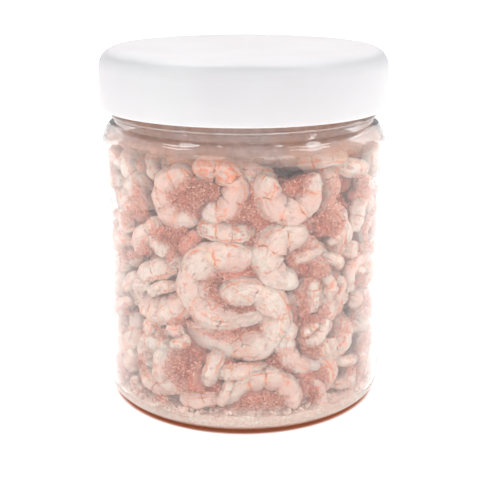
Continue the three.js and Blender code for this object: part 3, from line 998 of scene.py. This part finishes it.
def bodyBlank(rings, sides):  # a sphere whose poles are the head end and the tail
    if (rings, sides) not in bodyBlanks:
        bm = bmesh.new()
        bmesh.ops.create_uvsphere(bm, u_segments=sides, v_segments=rings, radius=1)
        bm.verts.index_update()
        spots = np.array([vert.co for vert in bm.verts])
        faces = [[vert.index for vert in face.verts] for face in bm.faces]
        bm.free()
        share = np.arccos(np.clip(spots[:, 2], -1, 1)) / math.pi
        along = share - shrimpBody["endRings"] * np.sin(math.tau * share)  # closer rings at both ends
        around = np.arctan2(spots[:, 1], spots[:, 0])
        bodyBlanks[rings, sides] = (along, np.cos(around), np.sin(around), faces)
    return bodyBlanks[rings, sides]


def meshOf(name, points, faces):
    mesh = bpy.data.meshes.new(name)
    mesh.from_pydata(points, [], faces)
    return mesh


def surfaceOf(*pieces):  # what a ray can hit, in millimetres
    points, faces = [], []
    for piece in pieces:
        start = len(points)
        points += [vert.co / mm for vert in piece.data.vertices]
        faces += [[start + i for i in face.vertices] for face in piece.data.polygons]
    return BVHTree.FromPolygons(points, faces)


def shrimpPiece(name, shrimps, step, material):
    points, places, faces = [], [], []
    total = 0
    for shrimp in shrimps:
        length = math.radians(shrimp["sweep"]) * shrimp["curl"] * (1 + 0.25 * (shrimp["trail"] + shrimp["lead"]))
        rings = max(shrimpBody["leastRings"], 2 * round(length / step / 2))
        sides = max(shrimpBody["leastSides"], 2 * round(math.pi * shrimp["thick"] / step / 2))
        along, back, side, ownFaces = bodyBlank(rings, sides)
        points.append(laid(shrimp, bodyPoints(shrimp, along, back, side), along))
        places.append(np.stack([along, back, np.full(len(along), shrimp["tint"])], 1))
        faces += [[total + i for i in face] for face in ownFaces]
        total += len(along)
    mesh = meshOf(name, np.concatenate(points), faces)
    bodyPlace = mesh.attributes.new("bodyPlace", "FLOAT_VECTOR", "POINT")
    bodyPlace.data.foreach_set("vector", np.concatenate(places).ravel())
    bm = bmesh.new()
    bm.from_mesh(mesh)
    bmesh.ops.recalc_face_normals(bm, faces=bm.faces)
    return finishPiece(name, bm, material, "dried_shrimp", "shrimp_heap", sharp=180)


def makeHeap():
    flesh = driedShrimp("driedShrimp", 0)
    front, around, inside = layHeap()
    fine, middling, coarse = heap["meshSteps"]
    atFront = shrimpPiece("frontShrimps", front, fine, flesh)
    atWall = shrimpPiece("wallShrimps", around, middling, flesh)
    behind = shrimpPiece("insideShrimps", inside, coarse, driedShrimp("dustyShrimp", 0.75))
    return surfaceOf(atFront, atWall), surfaceOf(atFront, atWall, behind)


# The middle of the heap is a lumpy drum of powder, which shows only in the gaps. Its deep red-brown is partly the
# powder's colour and partly painted shade of the heap's depth
middle = {
    "radius": 28.5,
    "top": 68,
    "rows": 26,
    "turnSteps": 72,
    "lumps": ((1.6, 6), (0.7, 2.4)),  # height and size
}


def lumpsAt(spot, lumps):
    return sum(height * noise.noise(spot / size) for height, size in lumps)


def makeHeapMiddle():
    radius, top, bottom, count = middle["radius"], middle["top"], heapLow.z, middle["rows"]
    profile = [(0, bottom), (radius - 2, bottom)]
    profile += [(radius, bottom + (top - 4 - bottom) * i / count) for i in range(1, count + 1)]
    profile += [(radius - 1.6, top - 1.4), *[(radius * (1 - 0.16 * i), top) for i in range(1, 6)], (0, top)]
    bm = spun(profile, middle["turnSteps"])
    for vert in bm.verts:
        lump = lumpsAt(vert.co, middle["lumps"])
        outward = Vector((vert.co.x, vert.co.y, 0))
        if vert.co.z > top - 0.5:
            vert.co.z += lump
        elif outward.length > 1 and vert.co.z > bottom + 0.5:
            vert.co += outward.normalized() * lump
    finishPiece("heapMiddle", bm, heapMiddleDustAndShade(), "shrimp_crumbs", "shrimp_heap", sharp=180)


crumbBed = {
    "level": 5.2,
    "wave": 0.5,
    "intoWall": 0.12,
    "lumps": ((0.55, 2.1), (0.25, 0.8)),
    "rough": 1.4,
    "turnSteps": 256,
}


def bedTop(x, y):  # the top of the crumbs rises and falls a little round the jar
    angle = math.atan2(x, -y)
    share = min(1, math.hypot(x, y) / insideRadius)
    waves = math.sin(3 * angle + 0.6) + 0.6 * math.sin(7 * angle + 2.1)
    return crumbBed["level"] + crumbBed["wave"] * share * waves


def makeCrumbBed(material):
    reach = insideRadius + crumbBed["intoWall"]
    heel = innerHeel + crumbBed["intoWall"]
    floorHeight = jar["baseThickness"] - crumbBed["intoWall"]
    level = crumbBed["level"]
    across, up = jar["dome"][1]
    profile = [
        (0, floorHeight + jar["pushUp"]),
        (jar["footRadius"] * across, floorHeight + jar["pushUp"] * up),
        (jar["footRadius"], floorHeight),
        *arc(reach - heel, floorHeight + heel, heel, heel, -90, -15, 8),
        *[(reach - 0.7 * i, level) for i in range(12)],
        (reach - 12, level),
        (reach * 0.4, level),
        (0, level),
    ]
    bm = spun(profile, crumbBed["turnSteps"])
    for vert in bm.verts:
        if vert.co.z > level - 0.01:
            rough = lumpsAt(vert.co, crumbBed["lumps"]) * crumbBed["rough"]
            vert.co.z = bedTop(vert.co.x, vert.co.y) + rough
    finishPiece("crumbBed", bm, material, "shrimp_crumbs", "crumb_layer", sharp=180)


def scattered(name, blank, places, material):  # one mesh of many copies of a small shape
    corners = np.array([vert.co for vert in blank.verts])
    faces = [[vert.index for vert in face.verts] for face in blank.faces]
    blank.free()
    points = np.concatenate([corners @ np.array(turn).T + spot for turn, spot in places])
    allFaces = [[k * len(corners) + i for i in face] for k in range(len(places)) for face in faces]
    piece = linked(name, meshOf(name, points * mm, allFaces))
    piece.data.materials.append(material)
    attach(piece, "root")
    print(name, len(places), "bits")


crumb = {"turn": (0, 6.3), "scales": ((0.6, 1.3), (0.6, 1.1), (0.42, 0.9)), "uneven": 0.5}


def lumpTurn(draw, size):  # a random turn and uneven scale for a crumb
    aside, over = (Matrix.Rotation(draw.uniform(*crumb["turn"]), 3, axis) for axis in "ZX")
    return aside @ over @ Matrix.Diagonal([size * draw.uniform(*ends) for ends in crumb["scales"]])


def grainBlank(sides, rings, uneven=0):
    bm = bmesh.new()
    bmesh.ops.create_uvsphere(bm, u_segments=sides, v_segments=rings, radius=0.5)
    for vert in bm.verts:
        vert.co *= 1 + uneven * noise.noise(vert.co * 3.1 + Vector((5, 2, 8)))
    bm.verts.index_update()
    return bm


looseCrumbs = {
    "blank": (6, 5),
    "onBed": 1500,
    "onBedSizes": (0.5, 2.3),
    "fewLarge": 2.2,  # the higher, the fewer
    "fewInside": 1.6,
    "lift": (-0.2, 0.9),
    "lodged": 2600,
    "lodgedSizes": (0.3, 1.0),
    "fewHigh": 1.3,
    "shallowest": 2.5,
    "deepest": 14,
    "bedInner": 27,
    "seed": 11,
}


def makeLooseCrumbs(material, shrimps):
    c = looseCrumbs
    draw = random.Random(c["seed"])
    places = []
    for k in range(c["onBed"]):
        small, large = c["onBedSizes"]
        size = small + (large - small) * draw.random() ** c["fewLarge"]
        inward = (draw.random() ** c["fewInside"]) * (insideRadius - c["bedInner"])
        radius = insideRadius - 0.3 - size * 0.5 - inward
        angle = draw.uniform(0, math.tau)
        x, y = radius * math.cos(angle), radius * math.sin(angle)
        spot = (x, y, bedTop(x, y) + draw.uniform(*c["lift"]) + size * 0.1)
        places.append((lumpTurn(draw, size), spot))
    for k in range(c["lodged"]):  # flakes that lie on the shrimp behind the gaps
        size = draw.uniform(*c["lodgedSizes"])
        angle = draw.uniform(0, math.tau)
        outward = Vector((math.cos(angle), math.sin(angle), 0))
        height = bedHigh.z + (dust["top"] - bedHigh.z) * draw.random() ** c["fewHigh"]
        start = outward * insideRadius + Vector((0, 0, height))
        spot = shrimps.ray_cast(start, -outward, c["deepest"])[0]
        if spot and (start - spot).length > c["shallowest"]:
            places.append((lumpTurn(draw, size), spot))
    scattered("looseCrumbs", grainBlank(*c["blank"], crumb["uneven"]), places, material)


dust = {
    "blank": (4, 2),
    "grains": 16000,
    "sizes": (0.16, 0.34),
    "fewHigh": 1.15,
    "offWall": 0.06,
    "spread": 0.12,
    "top": 74.3,
    "gapDepth": 5,
    "seed": 17,
}


def makeWallDust(material, shrimps):  # it shows where a gap is behind it, so only those grains are made
    draw = random.Random(dust["seed"])
    places = []
    while len(places) < dust["grains"]:
        size = draw.uniform(*dust["sizes"])
        angle = draw.uniform(0, math.tau)
        height = bedHigh.z + (dust["top"] - bedHigh.z) * draw.random() ** dust["fewHigh"]
        radius = insideRadius - dust["offWall"] - size / 2 - abs(draw.gauss(0, dust["spread"]))
        spot = Vector((radius * math.cos(angle), radius * math.sin(angle), height))
        inward = Vector((-math.cos(angle), -math.sin(angle), 0))
        if shrimps.ray_cast(spot, inward, dust["gapDepth"])[0] is None:
            places.append((lumpTurn(draw, size), spot))
    scattered("wallDust", grainBlank(*dust["blank"]), places, material)


film = {
    "outer": 0.1,
    "thickness": 0.12,
    "bottom": 5.6,
    "top": 74.8,
    "rows": 80,
    "turnSteps": 290,
    "gapFrom": 6.2,
    "gapUntil": 7.6,
    "lean": 0.3,
    "overBed": (0.4, 4.5),
}


def makeWallFilm(shrimps):
    outer = insideRadius - film["outer"]
    inner = outer - film["thickness"]
    heights = [film["bottom"] + (film["top"] - film["bottom"]) * i / film["rows"] for i in range(film["rows"] + 1)]
    profile = [(outer, height) for height in heights] + [(inner, height) for height in reversed(heights)]
    bm = spun(profile, film["turnSteps"], ring=True)
    piece = finishPiece("wallFilm", bm, wallFilm(), "shrimp_crumbs", sharp=60)
    # 1 where no shrimp is near the wall, 0 where one is or where the crumbs start; the film paints the gaps' shade
    # where this is 1
    known, gaps = {}, []
    for vert in piece.data.vertices:
        spot = vert.co / mm
        place = (round(math.atan2(spot.y, spot.x), 3), round(spot.z, 2))
        if place not in known:
            outward = Vector((spot.x, spot.y, 0)).normalized()
            start = outward * insideRadius + Vector((0, 0, spot.z))
            # looked for a little downwards, as a jar is seen, so the painted shade lies where the gaps show
            away = shrimps.ray_cast(start, -outward - Vector((0, 0, film["lean"])), film["gapUntil"])[3]
            gap = smooth(film["gapUntil"] if away is None else away, film["gapFrom"], film["gapUntil"])
            known[place] = gap * smooth(spot.z - bedTop(start.x, start.y), *film["overBed"])
        gaps.append(known[place])
    piece.data.attributes.new("gap", "FLOAT", "POINT").data.foreach_set("value", gaps)


shoulderHaze = {"angles": (4, 78), "steps": 12, "top": jar["neckTop"] - 2}


# a powder haze inside the shoulder and neck, partly painted light that brightens the headspace
def makeShoulderHaze():
    def inside(gap):  # the inside of the shoulder and of the neck, less a gap
        across, up = insideRadius - insideNeck - gap, insideShoulder - jar["shoulderStart"] - gap
        shoulder = arc(insideNeck, jar["shoulderStart"], across, up, *shoulderHaze["angles"], shoulderHaze["steps"])
        return [*shoulder, (insideNeck - gap, shoulderHaze["top"])]

    outer, inner = film["outer"], film["outer"] + film["thickness"]
    bm = spun(inside(outer) + inside(inner)[::-1], jar["turnSteps"], ring=True)
    finishPiece("shoulderHaze", bm, hazeAndPaintedLight(), "shrimp_crumbs", sharp=60)


floor = {"halfSide": 4, "cells": 8}  # in metres


def makeFloor():
    bm = bmesh.new()
    bmesh.ops.create_grid(bm, x_segments=floor["cells"], y_segments=floor["cells"], size=floor["halfSide"])
    paper = objectOf("floor", bm)
    paper.data.materials.append(paleFloor())


makeFloor()
makeJar()
makeLid()
print("jar and lid")
crumbFlesh = crumbs("crumbFlesh", colour(254, 242, 232), colour(246, 214, 198))
makeCrumbBed(crumbFlesh)
makeHeapMiddle()
wallSurface, heapSurface = makeHeap()
makeLooseCrumbs(crumbFlesh, heapSurface)
makeWallDust(crumbs("dustFlesh", colour(246, 218, 206), colour(234, 176, 158)), wallSurface)
makeWallFilm(wallSurface)
makeShoulderHaze()
